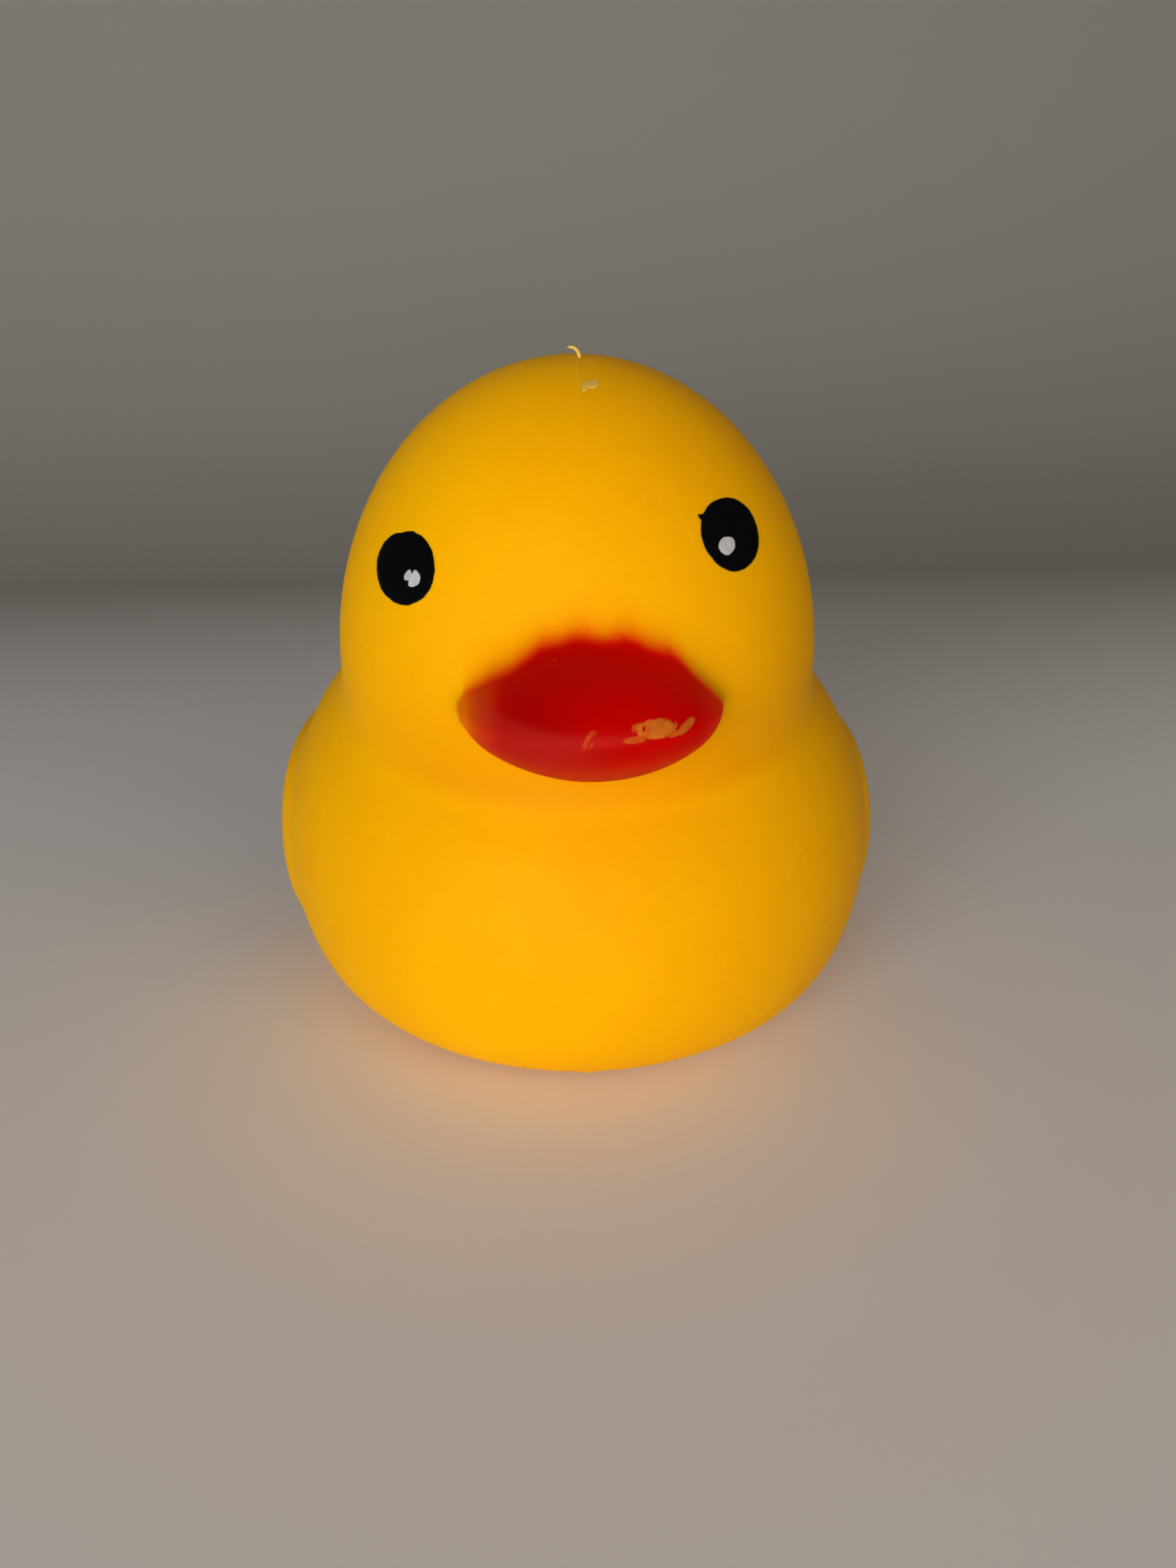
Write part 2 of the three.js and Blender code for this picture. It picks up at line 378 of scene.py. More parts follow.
bearings = 2 * np.pi * crowded(SKIN_COLUMNS, COLUMN_CROWDS)[:-1]
head_core = np.array([0.0, HEAD_MIDDLE[1], BILL_MIDDLE[2]])
head_shares = crowded(HEAD_ROWS, ROW_CROWDS)[1:]
trunk_shares = np.linspace(0, 1, TRUNK_ROWS + 1) ** TRUNK_ROW_POWER
lining_shares = np.linspace(0, 1, LINING_ROWS + 1)

crease = neck_crease(bearings, 0.0)
head_rings = fan(head_core, UP, crease, 0.0, head_shares, 0.0)
rim_radius = HOLE_RADIUS + HOLE_ROUNDING
rim_angle = math.atan(rim_radius / TRUNK_MIDDLE[2])
trunk_rings = fan(TRUNK_MIDDLE, -UP, crease, rim_angle, trunk_shares, 0.0)[-2::-1]
outer_rings = np.concatenate([head_rings, trunk_rings])

# the parting line is a fine ridge in the middle plane, highest on the crown and lower down the back, with a
# nub where it meets the base in front
RIDGE_WIDTH = 0.2
RIDGE_HEIGHT = 0.03
CROWN_RIDGE_START = 64.0
CROWN_RIDGE_RISE = 9.0
BACK_RIDGE_SHARE = 0.4
BACK_RIDGE_RISE = 10.0
BASE_RIDGE_RISE = 6.0
NUB_WAY = np.array([-0.02, -0.906, -0.42])
NUB_HEIGHT = 0.2
NUB_RADIUS = 0.9
x, y, z = np.moveaxis(outer_rings, -1, 0)
crown_share = np.clip((z - CROWN_RIDGE_START) / CROWN_RIDGE_RISE, 0, 1)
back_share = BACK_RIDGE_SHARE * np.clip((y - HEAD_MIDDLE[1]) / BACK_RIDGE_RISE, 0, 1)
back_share = back_share * np.clip(z / BASE_RIDGE_RISE - 0.5, 0, 1)
ridge = RIDGE_HEIGHT * np.exp(-((x / RIDGE_WIDTH) ** 2)) * np.maximum(crown_share, back_share)
nub_place = leave(TRUNK_MIDDLE, NUB_WAY[None] / np.linalg.norm(NUB_WAY))[0]
nub = NUB_HEIGHT * np.exp(-(((outer_rings - nub_place) ** 2).sum(-1)) / NUB_RADIUS**2)
outer_rings = outer_rings + outward(outer_rings) * (ridge + nub)[..., None]

# the mesh goes on over the air hole's rounded mouth, up its bore, and along the lining to the crown inside
rounding = np.linspace(0, np.pi / 2, 5)[1:]
hole_radii = np.concatenate([rim_radius - HOLE_ROUNDING * np.sin(rounding), [HOLE_RADIUS, HOLE_RADIUS]])
hole_levels = np.concatenate([HOLE_ROUNDING * (1 - np.cos(rounding)), [WALL / 2, WALL]])
hole_rings = hole_radii[:, None, None] * headings(TRUNK_MIDDLE, crease) + hole_levels[:, None, None] * UP

lining_crease = neck_crease(bearings, WALL)
lining_angle = math.atan(2 * HOLE_RADIUS / (TRUNK_MIDDLE[2] - WALL))
lining_trunk = fan(TRUNK_MIDDLE, -UP, lining_crease, lining_angle, lining_shares, WALL)
lining_head = fan(head_core, UP, lining_crease, 0.0, lining_shares[1:], WALL)[-2::-1]
skin_rings = np.concatenate([outer_rings, hole_rings, lining_trunk, lining_head])

crown = leave(head_core, UP[None])[0]
lining_crown = leave(head_core, UP[None], WALL)[0]

# the part's frame has its origin under the middle of its box
recentring = np.array([0.0, -(skin_rings[..., 1].min() + skin_rings[..., 1].max()) / 2, 0.0])
skin = spindle("duck_skin", crown + recentring, skin_rings + recentring, lining_crown + recentring)

VINYL_YELLOW = (0.95, 0.455, 0.0, 1.0)
VINYL_DEEP = (0.88, 0.385, 0.0, 1.0)
VINYL_PAINTED_SHADE = (0.82, 0.330, 0.0, 1.0)
VINYL_PALE = (1.0, 0.62, 0.12, 1.0)
PAINTED_SHEEN = (0.53, 0.022, 0.017, 1.0)
MARK_PALE = (0.74, 0.205, 0.020, 1.0)
MARK_DEEP = (0.54, 0.085, 0.005, 1.0)

vinyl, tree = bare_material("yellow vinyl with sprayed red bill")
place = place_on(tree)
# a place in the bill's own directions: across to the duck's left, along to the rear, and its rise over the
# plane of the bill's corners, which bends down towards them
across = place.node("SeparateXYZ", {}, {0: place}, "X")
behind_bill = place.node("SeparateXYZ", {}, {0: place}, "Y") - float(BILL_MIDDLE[1] + recentring[1])
over_bill = place.node("SeparateXYZ", {}, {0: place}, "Z") - float(BILL_MIDDLE[2])
droop = math.radians(BILL_DROOP)
along = behind_bill * math.cos(droop) + over_bill * math.sin(droop)
tip_share = (abs(across) / (BILL_WIDTH / 2)) ** 6
tip_bend = tip_share / (tip_share + 1) * (2 * BILL_TIP_DROOP)
rise = over_bill * math.cos(droop) - behind_bill * math.sin(droop) + tip_bend

# how far a point stands off the face, as the head's egg measures it
head_unit = place.vector("SUBTRACT", HEAD_MIDDLE + recentring).vector("DIVIDE", HEAD_RADII)
head_reach = head_unit.vector("LENGTH", (0, 0, 0), "Value")
head_growth = head_unit.vector("DIVIDE", HEAD_RADII).vector("LENGTH", (0, 0, 0), "Value")
stand_off = head_reach * (head_reach - 1) / head_growth
# the lower half's own measure, 1 on its skin
lower = rise.math("LESS_THAN", rise, 0.0)
lower_reach = (across / (BILL_WIDTH / 2)).hypot(rise / BILL_DROP).hypot(along / BILL_LENGTH)

# the spray thickens e-fold with each step past its edge on the bill's root. The edge is wavy and ragged, and
# falls towards the corners, the duck's right at -X and its left at +X. Lengths are in millimetres, and
# thicknesses in the steps by which green light dies away.
EDGE_LEVEL = 6.1
EDGE_WAVE_LENGTH = 4.5
EDGE_WAVE_HEIGHT = 0.33
EDGE_WAVE_DROP = 0.22
EDGE_WAVE_PLACE = 1.05
RIGHT_FALL = 4.1
RIGHT_END_FALL = 3.8
LEFT_FALL = 0.00979
LEFT_FALL_POWER = 2.67
SPRAY_STEP = 1.05
right_fall = (-across).fade(3.0, 9.0) * RIGHT_FALL + (-across).fade(8.5, 15.5) * RIGHT_END_FALL
left_fall = across.most(0.0) ** LEFT_FALL_POWER * LEFT_FALL
turns = (across - EDGE_WAVE_PLACE) * (2 * math.pi / EDGE_WAVE_LENGTH)
waves = (across.math("COSINE", turns) * EDGE_WAVE_HEIGHT + EDGE_WAVE_DROP) * across.fade(-6.5, -3.5)
ragged_edge = place.grain(0.8, 3.0) * 0.5 + place.grain(2.5, 4.0) * 0.4
spray_edge = EDGE_LEVEL - right_fall - left_fall - waves + ragged_edge
right_tip = (-across).fade(10.8, 12.6)
past_edge = spray_edge - right_tip * 0.5 - rise + stand_off * (1 + right_tip * 1.5)
step = SPRAY_STEP + (-across).fade(4.0, 8.0) * 0.2 - across.fade(4.0, 10.0) * 0.2
spray = math.e ** (past_edge / step)

# it is thin at the corners, most at the duck's right, where a bead along the edge is a little thicker
RIGHT_THICKNESS = 0.9
LEFT_THICKNESS = 2.9
edge_bead = 1 - abs(past_edge - 1.2).fade(0.2, 1.4)
right_corner = RIGHT_THICKNESS + edge_bead * 0.3
right_corner = right_corner + (across + 12.3).most(0.0) * 0.83 + (across + 10.0).most(0.0) ** 2
left_corner = LEFT_THICKNESS + (12.6 - across).most(0.0) ** 2 * 0.3 + place.grain(1.3, 4.0, 0.7) * 1.6
spray = spray.least(right_corner).least(left_corner)

# the mask keeps it off the face: under the bill, beyond the tips and behind the root
past_rim = (lower_reach + across.fade(4.0, 10.0) * 0.09).fade(1.14, 1.22)
near_face = 1 - stand_off.fade(0.1, 0.5)
past_tip = (abs(across) + rise.most(0.0).least(1.0) * 0.6).fade(12.8, 13.4)
spray = spray * (1 - lower * past_rim) * (1 - lower * near_face)
spray = spray * (1 - past_tip) * (1 - along.fade(1.0, 2.0))

# along the lower front, most at the duck's right, more of the yellow's green is let through while the red
# stays: a painted reflection of warm light from chest and floor in the glossy lip
LIP_REFLECTION_CAP = 2.9
LIP_RIGHT_REFLECTION_CAP = 4.9
front = LIP_REFLECTION_CAP + rise.fade(-3.2, 1.6) * 4.5
front = front.least(LIP_RIGHT_REFLECTION_CAP + (across + 6.0).most(0.0) * 0.5 + rise.fade(1.0, 2.0) * 4)


def patch(centre_across, centre_rise, half_length, half_depth, slope):
    """A pale patch on the front of the bill: an ellipse along the rim whose edge is frayed by noise."""
    far_across = (across - centre_across) / half_length
    far_rise = (rise - centre_rise - (across - centre_across) * slope) / half_depth
    ragged = far_across.hypot(far_rise) + place.grain(2.0, 4.0, 0.7) * 0.85
    return 1 - ragged.fade(0.82, 1.02)


# pale tan marks on the front rim: one large patch with a pinhole, and three fainter ones at its ends: place,
# half size, slope and strength
LARGE_PATCH = (5.0, 1.17, 2.1, 0.72, -0.16)
PINHOLE = (3.86, 1.41, 0.18, 0.2, 0.0)
SMALL_PATCHES = [
    (7.95, 0.68, 1.05, 0.36, 0.25, 0.9),
    (7.0, 0.44, 0.8, 0.18, 0.12, 0.7),
    (3.0, 0.75, 1.15, 0.30, -0.05, 0.6),
]
pale_marks = patch(*LARGE_PATCH) * (1 - patch(*PINHOLE))
for *shape, strength in SMALL_PATCHES:
    pale_marks = pale_marks.most(patch(*shape) * strength)

# beside the patches, two short strokes on arcs about one centre, and a speck on top
LONG_STROKE_RADIUS = 1.97
SHORT_STROKE_RADIUS = 1.43
arc = (across - 0.385).hypot(rise + 0.115)
short_stroke = abs(arc - SHORT_STROKE_RADIUS) + 0.1 + across.fade(-0.75, -0.55)
strokes = abs(arc - LONG_STROKE_RADIUS).least(short_stroke) + place.grain(2.2, 4.0) * 0.7
strokes = (1 - strokes.fade(0.04, 0.28)) * (1 - across.fade(-0.8, -0.2)) * rise.fade(-0.1, 0.8)
speck = 1 - (across + 3.65).hypot(along + 5.6).fade(0.08, 0.16)
pale_marks = pale_marks.most(strokes * 0.32) * (1 - (along + 9.0).fade(0.0, 1.0))
pale_marks = pale_marks.most(speck * 0.5 * (1 - lower))

# the vinyl's yellow drifts a little, and it is paler on the parting line over the crown
SEAM_PALENESS = 0.12
broad = place.grain(0.05, 2.0)
mottle = place.grain(0.7, 3.0)
seam = (1 - abs(across + place.grain(0.3) * 0.3).fade(0.05, 0.22)) * over_bill.fade(26.0, 30.0)
yellow = (0.5 + broad * 1.2 + mottle * 0.5).blend(VINYL_YELLOW, VINYL_DEEP)
yellow = (seam * SEAM_PALENESS).blend(yellow, VINYL_PALE)

# painted shade: under the cheeks, down to the neck's crease, the vinyl is made a deeper orange for the shade
# on the head's underside, and less so at the sides
SHADE_DEPTH = 0.95
SHADE_SIDE_LOSS = 0.75
shade_under_cheeks = (1 - over_bill.fade(-12.0, 6.0)) * (1 - stand_off.fade(0.3, 1.8))
shade_under_cheeks = shade_under_cheeks * (SHADE_DEPTH - abs(across).fade(14.0, 27.0) * SHADE_SIDE_LOSS)
yellow = shade_under_cheeks.blend(yellow, VINYL_PAINTED_SHADE)

# the paint is a red filter over the yellow: green and blue die away with its thickness, red only to a share
LEAST_RED = 0.375
RED_FADING = 0.35
# the red kept rises towards the root, for thinner paint and painted light there, and towards the lower
# front, the tips and the duck's left as painted light where the lamps leave the red in shade
red_share_and_painted_light = LEAST_RED + rise.fade(0.0, 4.5) * 0.155 + (-rise).fade(0.5, 3.5) * 0.22
red_share_and_painted_light = red_share_and_painted_light + (-across).fade(10.5, 12.5) * 0.3
red_share_and_painted_light = red_share_and_painted_light + across.fade(-6.0, 12.0) * 0.34 + across.fade(8.5, 13.0) * 0.25
filtered = tree.node(
    "CombineColor",
    {},
    {
        "Red": red_share_and_painted_light + (1 - red_share_and_painted_light) * math.e ** (spray * -RED_FADING),
        "Green": math.e ** -spray.least(front),
        "Blue": math.e ** -spray,
    },
)
mark_colour = (0.5 + place.grain(1.1, 2.0) * 1.8).blend(MARK_PALE, MARK_DEEP)
painted = spray.fade(0.4, 3.0)

# painted sheen: the lip under its turn is made lighter and pinker, a painted reflection of the bright floor
# at the duck's right and along the rim, and a painted highlight beside the pale patches
SHEEN_STRENGTH = 0.35
painted_sheen = (1 - across.fade(-5.0, 3.0)).most(1 - rise.fade(-3.4, -1.4))
sheen_band = (1 - abs(rise - 1.0).fade(0.3, 0.9)) * across.fade(-3.0, 0.0) * (1 - across.fade(3.5, 5.0))
under_turn = 1 - (rise - tip_bend * 1.5).fade(0.8, 1.7)
painted_sheen = painted_sheen.most(sheen_band) * under_turn * painted * SHEEN_STRENGTH

# the mould's grain is faint, and the paint has a little orange peel
skin_grain = place.grain(2.2, 2.0) + painted * place.grain(0.8, 2.0) * 2
grain_bump = tree.node("Bump", {}, {"Strength": 0.25, "Distance": 0.00006, "Height": skin_grain}, "Normal")
shader = tree.node(
    "BsdfPrincipled",
    {},
    {
        "Base Color": pale_marks.blend(painted_sheen.blend(yellow.tint(filtered), PAINTED_SHEEN), mark_colour),
        "Roughness": 0.54 + mottle * 0.10 - painted * 0.02 + pale_marks * 0.06,
        "Coat Weight": painted * (0.005 - pale_marks * 0.005),
        "Coat Roughness": 0.38,
        "Specular IOR Level": 0.03,
        "Subsurface Weight": 0.35,
        "Subsurface Radius": (1.0, 0.45, 0.05),
        "Subsurface Scale": 0.0015,
        "Normal": grain_bump,
    },
)
tree.node("OutputMaterial", {}, {"Surface": shader})
skin.data.materials.append(vinyl)
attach(skin, "root")
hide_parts("duck_body")

# The crown keeps two bits of flash from the mould: a thin curl that stands up at the parting line and bends
# aside, and a loose-edged fleck that lies flat in front of it. Both are pale because they are thin.
CURL_ROOT = np.array([0.45, -11.6, 74.5])
CURL_BEND = np.array([0.31, -11.65, 75.8])
CURL_TIP = np.array([-0.88, -11.7, 75.63])
CURL_RADIUS = 0.18
CURL_FLATNESS = 0.55
CURL_RINGS = 24
CURL_SIDES = 12


def bezier(first, bend, last, share):
    """A curve with one bend: (1 - s)^2 first + 2 s (1 - s) bend + s^2 last."""
    s = share[:, None]
    return (1 - s) ** 2 * first + 2 * s * (1 - s) * bend + s**2 * last


share = np.linspace(0, 1, CURL_RINGS)
curl_path = bezier(CURL_ROOT, CURL_BEND, CURL_TIP, share)
curl_way = np.gradient(curl_path, axis=0)
curl_way = curl_way / np.linalg.norm(curl_way, axis=-1, keepdims=True)
flat = np.array([0.0, 1.0, 0.0])
edge_way = np.cross(flat, curl_way)
angle = 2 * np.pi * np.arange(CURL_SIDES) / CURL_SIDES
# it tapers by a third and is rounded off at its tip
radius = (CURL_RADIUS * (1.15 - 0.35 * share) * np.sqrt(np.clip(1.04 - share**6, 0, 1)))[:, None, None]
curl_rings = curl_path[:, None] + radius * (
    np.cos(angle)[:, None] * edge_way[:, None] + CURL_FLATNESS * np.sin(angle)[:, None] * flat
)
curl = spindle("flash_curl", CURL_ROOT + recentring, curl_rings + recentring, CURL_TIP + recentring)


class Stamp:
    """A plane that prints or lies on the skin from one side: its origin inside, and its three directions."""

    def __init__(self, origin, right, up):
        self.origin = np.array(origin)
        self.right = np.array(right)
        self.up = np.array(up)
        self.way = np.cross(self.right, self.up)

    def cast(self, right, up):
        """Skin points under places on the plane, straight along the stamp's way."""
        origins = self.origin + right[..., None] * self.right + up[..., None] * self.up
        return leave(origins, np.broadcast_to(self.way, origins.shape))


FILM_SINK = 0.08
FILM_COLUMNS = 120
FILM_SHARES = np.concatenate([np.linspace(0.06, 0.9, 12), [0.95, 0.98, 1.0]])


def film(name, stamp, centre, outline, lean, height, lift=0.0):
    """A thin closed film on the skin. The outline gives right and up by angle, shrunk to the centre ring by
    ring. The top is domed by (1 - share^6)^0.5, and the underside lies a little under the skin."""
    angle = 2 * np.pi * np.arange(FILM_COLUMNS) / FILM_COLUMNS
    right, up = outline(angle)
    c = math.cos(math.radians(lean))
    s = math.sin(math.radians(lean))
    places_right = centre[0] + FILM_SHARES[:, None] * (right * c + up * s)
    places_up = centre[1] + FILM_SHARES[:, None] * (up * c - right * s)
    on_skin = stamp.cast(places_right, places_up)
    normal = outward(on_skin)
    dome = lift + height * np.sqrt(np.clip(1 - FILM_SHARES**6, 0, 1))
    top = on_skin + normal * dome[:, None, None]
    under = (on_skin - normal * FILM_SINK)[::-1]
    middle = stamp.cast(np.array([centre[0]]), np.array([centre[1]]))
    middle_out = outward(middle)[0]
    rings = np.concatenate([top, under]) + recentring
    start = middle[0] + middle_out * (lift + height) + recentring
    return spindle(name, start, rings, middle[0] - middle_out * FILM_SINK + recentring)


def bumps(angle, shape):
    """A sum of bells round an outline: height exp(-((turn - place) / width)^2), in shares and degrees."""
    place, height, width = np.array(shape).T
    turn = (np.degrees(angle)[:, None] - place + 180) % 360 - 180
    return (height * np.exp(-((turn / width) ** 2))).sum(-1)


from_above = Stamp((0.0, 0.0, 50.0), (1.0, 0.0, 0.0), (0.0, 1.0, 0.0))


def fleck_outline(angle):
    """A torn scrap about 1.8 by 2 mm: the radius at a few angles, joined straight, with a long front toe."""
    at = np.radians([5, 35, 50, 74, 114, 160, 202, 233, 242, 252, 273, 317])
    radii = [0.85, 1.19, 1.42, 0.99, 0.78, 0.73, 0.91, 1.3, 1.2, 0.6, 0.42, 0.6]
    radius = np.interp(angle, at, radii, period=2 * np.pi)
    return radius * np.cos(angle), radius * np.sin(angle)


FLECK_PLACE = (1.04, -19.55)
FLECK_HEIGHT = 0.1
FLASH_PALE = (0.86, 0.56, 0.10, 1.0)
FLASH_DEEP = (0.74, 0.44, 0.05, 1.0)
fleck = film("flash_fleck", from_above, FLECK_PLACE, fleck_outline, 0.0, FLECK_HEIGHT)

thin_vinyl, tree = bare_material("thin pale vinyl")
place = place_on(tree)
cloud = place.grain(2.0, 2.0)
shader = tree.node(
    "BsdfPrincipled",
    {},
    {
        "Base Color": (0.5 + cloud * 1.4).blend(FLASH_PALE, FLASH_DEEP),
        "Roughness": 0.45 + cloud * 0.15,
        "Specular IOR Level": 0.3,
        "Subsurface Weight": 0.3,
        "Subsurface Radius": (1.0, 0.6, 0.15),
        "Subsurface Scale": 0.0005,
    },
)
tree.node("OutputMaterial", {}, {"Surface": shader})
for bit in (curl, fleck):
    bit.data.materials.append(thin_vinyl)
    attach(bit, "root")

# The eyes are prints in black ink, stamped from the front a little crooked: the duck's own right eye, at -X,
# sits lower and further out. Their edges are slightly ragged, and the left one has a spur.
INK_BLACK = (0.0008, 0.0008, 0.001, 1.0)
INK_GREY = (0.003, 0.0035, 0.004, 1.0)
INK_HEIGHT = 0.07
STAMP_PITCH = 10.0
RIGHT_EYE = (-18.13, 9.31)
LEFT_EYE = (14.47, 12.0)
LEFT_EYE_LEAN = -17.3
stamp_up = (0.0, math.sin(math.radians(STAMP_PITCH)), math.cos(math.radians(STAMP_PITCH)))
from_front = Stamp(HEAD_MIDDLE, (1.0, 0.0, 0.0), stamp_up)


def fray(angle, size):
    """Small waves round an edge: sines of odd counts that don't line up."""
    coarse = np.sin(7 * angle + 0.4)
    return size * (coarse + 0.7 * np.sin(13 * angle + 2.1) + 0.6 * np.sin(23 * angle + 4.0))


def right_eye_outline(angle):
    """An upright oval 6.4 by 7.3 mm, flattened at the top and dented on the inner side."""
    shape = [(97, -0.035, 12), (40, 0.02, 16), (72, 0.02, 5), (5, -0.02, 10), (140, 0.018, 18)]
    swell = 1 + fray(angle, 0.006) + bumps(angle, shape)
    return 3.23 * np.cos(angle) * swell, 3.69 * np.sin(angle) * swell


def left_eye_outline(angle):
    """An oval 6.6 by 7.4 mm with one narrow spur."""
    shape = [(139, 0.17, 3.5), (90, -0.027, 22), (28, 0.022, 16), (205, -0.022, 10), (250, 0.02, 14)]
    swell = 1 + fray(angle, 0.003) + bumps(angle, shape)
    return 3.287 * np.cos(angle) * swell, 3.705 * np.sin(angle) * swell


right_eye = film("eye_print_right", from_front, RIGHT_EYE, right_eye_outline, 0.0, INK_HEIGHT)
left_eye = film("eye_print_left", from_front, LEFT_EYE, left_eye_outline, LEFT_EYE_LEAN, INK_HEIGHT)

black_ink, tree = bare_material("black print ink")
place = place_on(tree)
cloud = place.grain(1.2, 3.0)
ink_grain = place.grain(3.0)
ink_bump = tree.node("Bump", {}, {"Strength": 0.3, "Distance": 0.00004, "Height": ink_grain}, "Normal")
shader = tree.node(
    "BsdfPrincipled",
    {},
    {
        "Base Color": (0.5 + cloud).blend(INK_BLACK, INK_GREY),
        "Roughness": 0.52 + cloud * 0.2,
        "Specular IOR Level": 0.03,
        "Normal": ink_bump,
    },
)
tree.node("OutputMaterial", {}, {"Surface": shader})
for eye in (right_eye, left_eye):
    eye.data.materials.append(black_ink)
    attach(eye, "root")

# Each eye has a small glint in white ink, stamped over the black in a second print. The left one is whole.
# The right one has lost two wedges, where the ink didn't take.
INK_WHITE = (0.58, 0.59, 0.61, 1.0)
INK_WORN = (0.42, 0.42, 0.43, 1.0)
GLINT_HEIGHT = 0.05
RIGHT_GLINT = (RIGHT_EYE[0] + 0.84, RIGHT_EYE[1] - 1.04)
LEFT_GLINT = (LEFT_EYE[0] - 0.60, LEFT_EYE[1] - 1.23)


def wedge(angle, place, width):
    """1 at a place round an outline, falling straight to 0 a width away, in degrees."""
    turn = np.abs((np.degrees(angle) - place + 180) % 360 - 180)
    return np.clip(1 - turn / width, 0, 1)


def right_glint_outline(angle):
    """A round spot of 0.86 mm radius with a wedge missing above and another at the lower left."""
    bite = np.maximum(0.66 * wedge(angle, 86, 17), 0.56 * wedge(angle, 216, 27))
    radius = 0.86 * (1 + fray(angle, 0.012)) * (1 - bite)
    return radius * np.cos(angle), radius * np.sin(angle)


def left_glint_outline(angle):
    """A rounded, slightly cornered spot of 0.9 mm radius."""
    shape = [(42, 0.17, 28), (185, 0.06, 16), (315, -0.12, 22)]
    radius = 0.89 * (1 + fray(angle, 0.008) + bumps(angle, shape))
    return radius * np.cos(angle), radius * np.sin(angle)


right_glint = film(
    "eye_glint_right", from_front, RIGHT_GLINT, right_glint_outline, 0.0, GLINT_HEIGHT, lift=INK_HEIGHT
)
left_glint = film(
    "eye_glint_left", from_front, LEFT_GLINT, left_glint_outline, 0.0, GLINT_HEIGHT, lift=INK_HEIGHT
)

white_ink, tree = bare_material("white print ink")
place = place_on(tree)
cloud = place.grain(1.5, 3.0)
shader = tree.node(
    "BsdfPrincipled",
    {},
    {
        "Base Color": (0.5 + cloud * 1.5).blend(INK_WHITE, INK_WORN),
        "Roughness": 0.5 + cloud * 0.2,
        "Specular IOR Level": 0.3,
    },
)
tree.node("OutputMaterial", {}, {"Surface": shader})
for glint in (right_glint, left_glint):
    glint.data.materials.append(white_ink)
    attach(glint, "root")

# The duck stands on one plain sheet of matt card that sweeps up into the backdrop in a quarter round. It is
# pale under the duck and greyer behind, as painted shade where the light falls off. Its sizes are in metres.
SHEET_PALE = (0.90, 0.90, 0.90, 1.0)
SHEET_GREY = (0.32, 0.31, 0.28, 1.0)
GREYING_START = 0.04
GREYING_END = 0.36
SWEEP_FRONT = -3.0
SWEEP_BACK = 0.45
SWEEP_RADIUS = 0.18
SWEEP_TOP = 1.2
SWEEP_HALF_WIDTH = 3.0
bend = np.linspace(0, np.pi / 2, 25)
curve_y = SWEEP_BACK + SWEEP_RADIUS * (np.sin(bend) - 1)
sweep_y = np.concatenate([[SWEEP_FRONT, -0.4, 0.0], curve_y, [SWEEP_BACK]])
sweep_z = np.concatenate([[0.0, 0.0, 0.0], SWEEP_RADIUS * (1 - np.cos(bend)), [SWEEP_TOP]])
left_edge = np.stack([np.full_like(sweep_y, -SWEEP_HALF_WIDTH), sweep_y, sweep_z], -1)
right_edge = left_edge * (-1, 1, 1)
count = len(sweep_y)
strip = np.arange(count - 1)
strip_faces = np.stack([strip, strip + count, strip + count + 1, strip + 1], -1)
sweep_mesh = bpy.data.meshes.new("sweep")
sweep_mesh.from_pydata(np.concatenate([left_edge, right_edge]).tolist(), [], strip_faces.tolist())
sweep_mesh.shade_smooth()
sweep = bpy.data.objects.new("sweep", sweep_mesh)
bpy.context.scene.collection.objects.link(sweep)
sheet, tree = bare_material("pale sheet")
place = place_on(tree)
far = place.node("SeparateXYZ", {}, {0: place}, "Y").fade(GREYING_START / MM, GREYING_END / MM)
shader = tree.node(
    "BsdfPrincipled",
    {},
    {
        "Base Color": far.blend(SHEET_PALE, SHEET_GREY),
        "Roughness": 0.7,
        "Specular IOR Level": 0.2,
    },
)
tree.node("OutputMaterial", {}, {"Surface": shader})
sweep_mesh.materials.append(sheet)

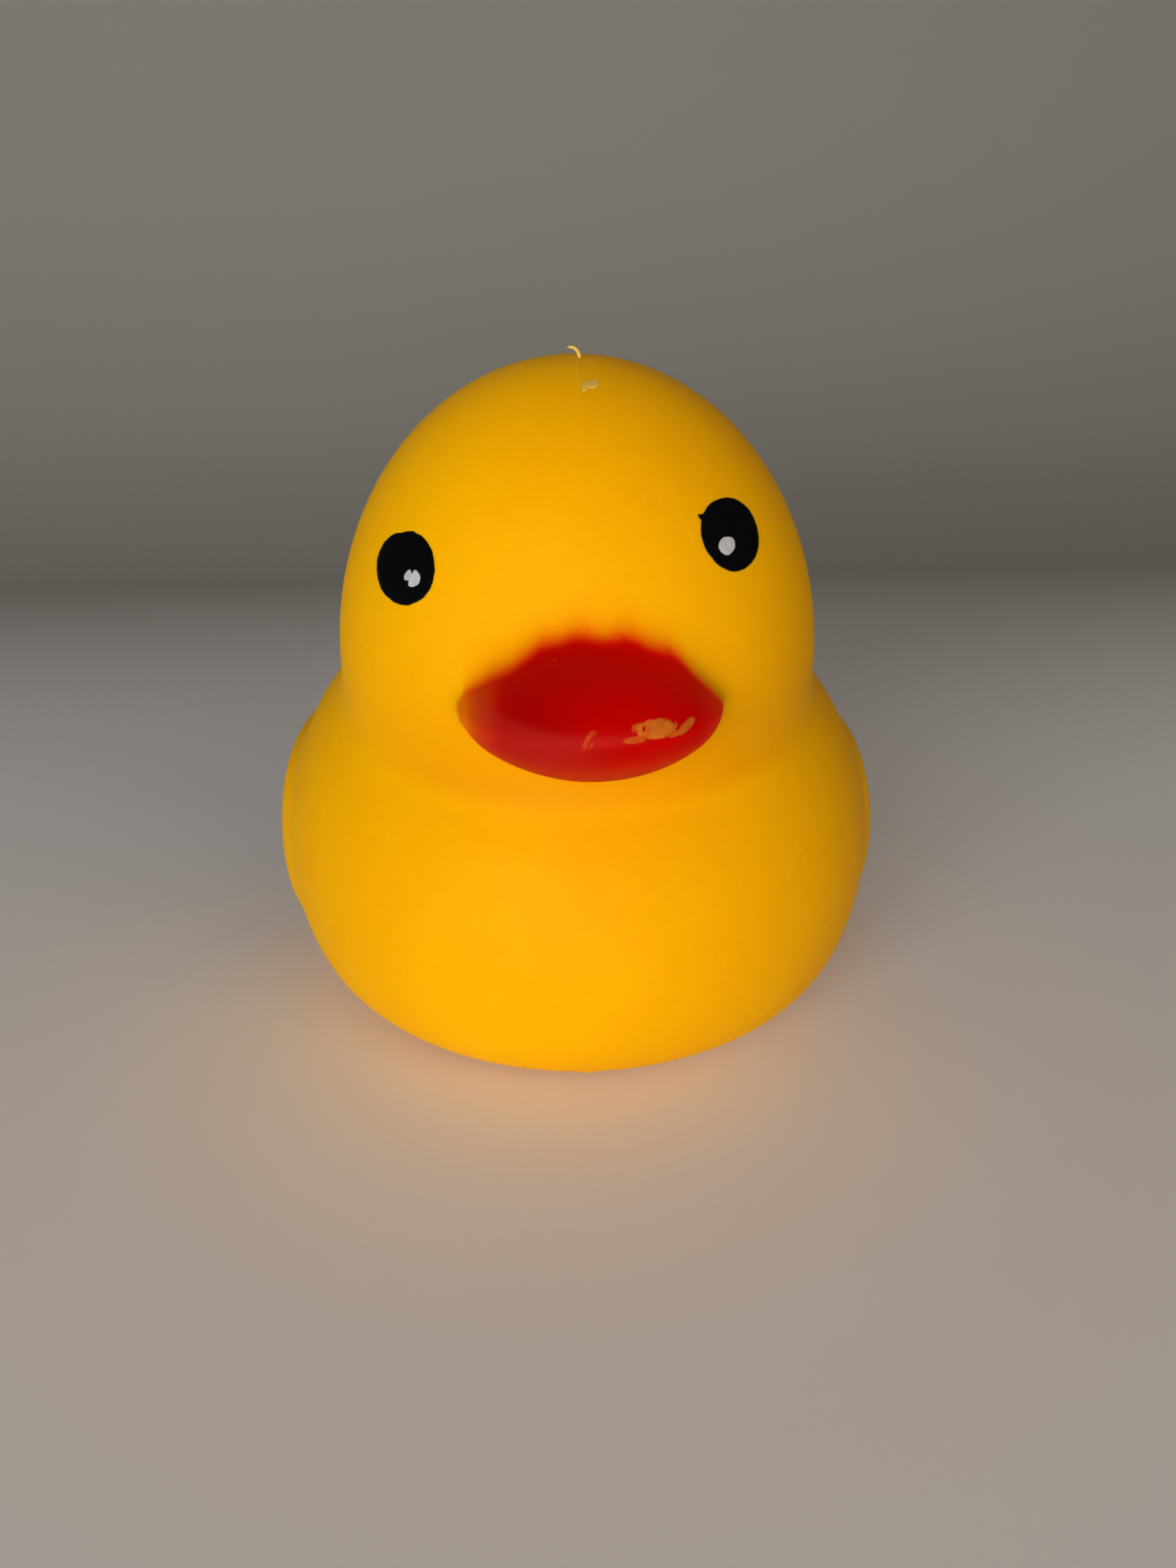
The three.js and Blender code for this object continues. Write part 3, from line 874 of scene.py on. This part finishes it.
# The light is plain and soft: a broad white lamp in front at the duck's right, a weaker warm one higher up
# at its left, and an even grey room round them. Places and sizes are in metres, and powers in watts.
ROOM_COLOUR = (1.0, 0.99, 0.97, 1.0)
ROOM_STRENGTH = 0.09
DUCK_MIDDLE = Vector((0, 0, 0.035))


def soft_lamp(name, place, size, power, colour):
    """A rectangular lamp that faces the duck's middle."""
    data = bpy.data.lights.new(name, "AREA")
    data.shape = "RECTANGLE"
    data.size, data.size_y = size
    data.energy = power
    data.color = colour
    lamp = bpy.data.objects.new(name, data)
    lamp.location = place
    lamp.rotation_euler = (DUCK_MIDDLE - Vector(place)).to_track_quat("-Z", "Y").to_euler()
    bpy.context.scene.collection.objects.link(lamp)


soft_lamp("front_lamp", place=(-0.28, -0.83, 0.17), size=(0.8, 0.36), power=7.0, colour=(1.0, 1.0, 1.0))
soft_lamp("side_lamp", place=(0.45, -0.70, 0.45), size=(0.6, 0.5), power=1.35, colour=(1.0, 0.75, 0.5))
room = bpy.data.worlds.new("room")
room.use_nodes = True
room.node_tree.nodes["Background"].inputs["Color"].default_value = ROOM_COLOUR
room.node_tree.nodes["Background"].inputs["Strength"].default_value = ROOM_STRENGTH
bpy.context.scene.world = room

# The camera stands where the photograph was taken: close by, level with the crown, tipped down and turned a
# little aside. Its place is in metres and its angles are in degrees.
CAMERA_PLACE = (-0.00673, -0.14631, 0.07545)
CAMERA_TURN = -3.21
CAMERA_TIP_DOWN = 20.0
CAMERA_ROLL = -0.59
camera_data = bpy.data.cameras.new("camera")
camera_data.lens = 27.45
camera_data.sensor_width = 36.0
camera_data.clip_start = 0.01
camera = bpy.data.objects.new("camera", camera_data)
turn = Matrix.Rotation(math.radians(CAMERA_TURN), 4, "Z")
tip = Matrix.Rotation(math.radians(90 - CAMERA_TIP_DOWN), 4, "X")
roll = Matrix.Rotation(math.radians(CAMERA_ROLL), 4, "Z")
camera.matrix_world = Matrix.Translation(CAMERA_PLACE) @ turn @ tip @ roll
bpy.context.scene.collection.objects.link(camera)
bpy.context.scene.camera = camera
bpy.context.scene.view_settings.view_transform = "Standard"
